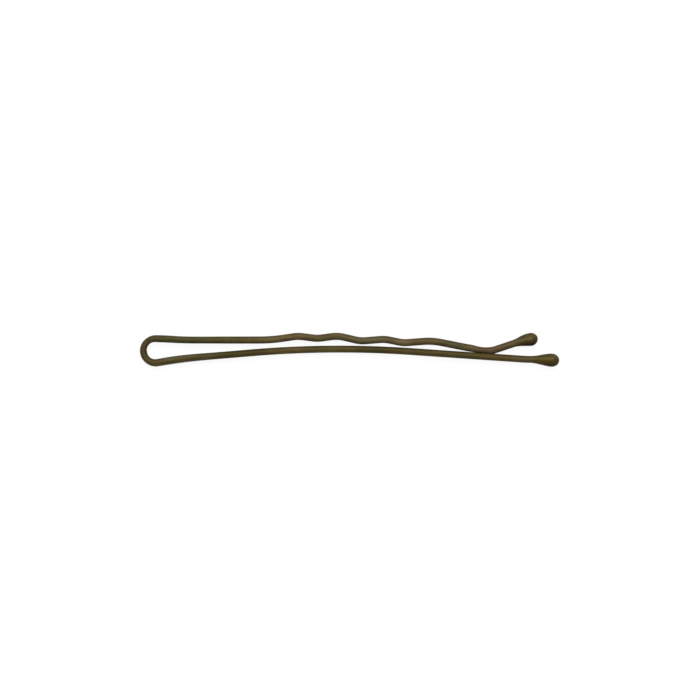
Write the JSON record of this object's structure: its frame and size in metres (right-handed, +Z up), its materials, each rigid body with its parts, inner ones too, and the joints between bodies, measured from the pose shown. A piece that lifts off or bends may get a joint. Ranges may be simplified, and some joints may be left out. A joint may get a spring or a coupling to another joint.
{
  "type": "bobby pin",
  "caption": "Hair grip bent from flat spring wire: a round bow, a smooth arched leg, a crimped leg with a kicked-up end, bronze-brown lacquer and rounded drop tips.",
  "frame": {"origin": "on the floor under the middle of the pin's outline, with the pin lying on its side", "axes": "+X from the bow to the tips, +Y from the straight leg to the crimped leg, +Z up across the width of the wire"},
  "size_m": [0.0503, 0.0042, 0.0017],
  "materials": {
    "spring_steel": "rolled and tempered high-carbon wire, hidden under the lacquer",
    "bronze_lacquer": "thin baked lacquer, satin bronze brown with faint olive and reddish mottling",
    "tip_enamel": "dipped enamel drop, smooth and softly glossy, same bronze brown as the lacquer"
  },
  "bodies": {
    "straight_leg": {"straight_leg_wire": "spring_steel", "straight_leg_lacquer": "bronze_lacquer", "straight_leg_tip": "tip_enamel"},
    "bow": {"bow_wire": "spring_steel", "bow_lacquer": "bronze_lacquer"},
    "crimped_leg": {"crimped_leg_wire": "spring_steel", "crimped_leg_lacquer": "bronze_lacquer", "crimped_leg_tip": "tip_enamel"}
  },
  "joints": [
    {"name": "straight_leg_flex", "type": "hinge", "parent": "straight_leg", "child": "bow", "pos_m": [-0.01779, -0.00087, 0.00084], "axis": [0, 0, 1], "range_deg": [0, 7.5], "stiffness_Nm_per_rad": 0.35},
    {"name": "crimped_leg_flex", "type": "hinge", "parent": "bow", "child": "crimped_leg", "pos_m": [-0.01779, 0.00116, 0.00084], "axis": [0, 0, 1], "range_deg": [0, 7.5], "stiffness_Nm_per_rad": 0.35}
  ]
}
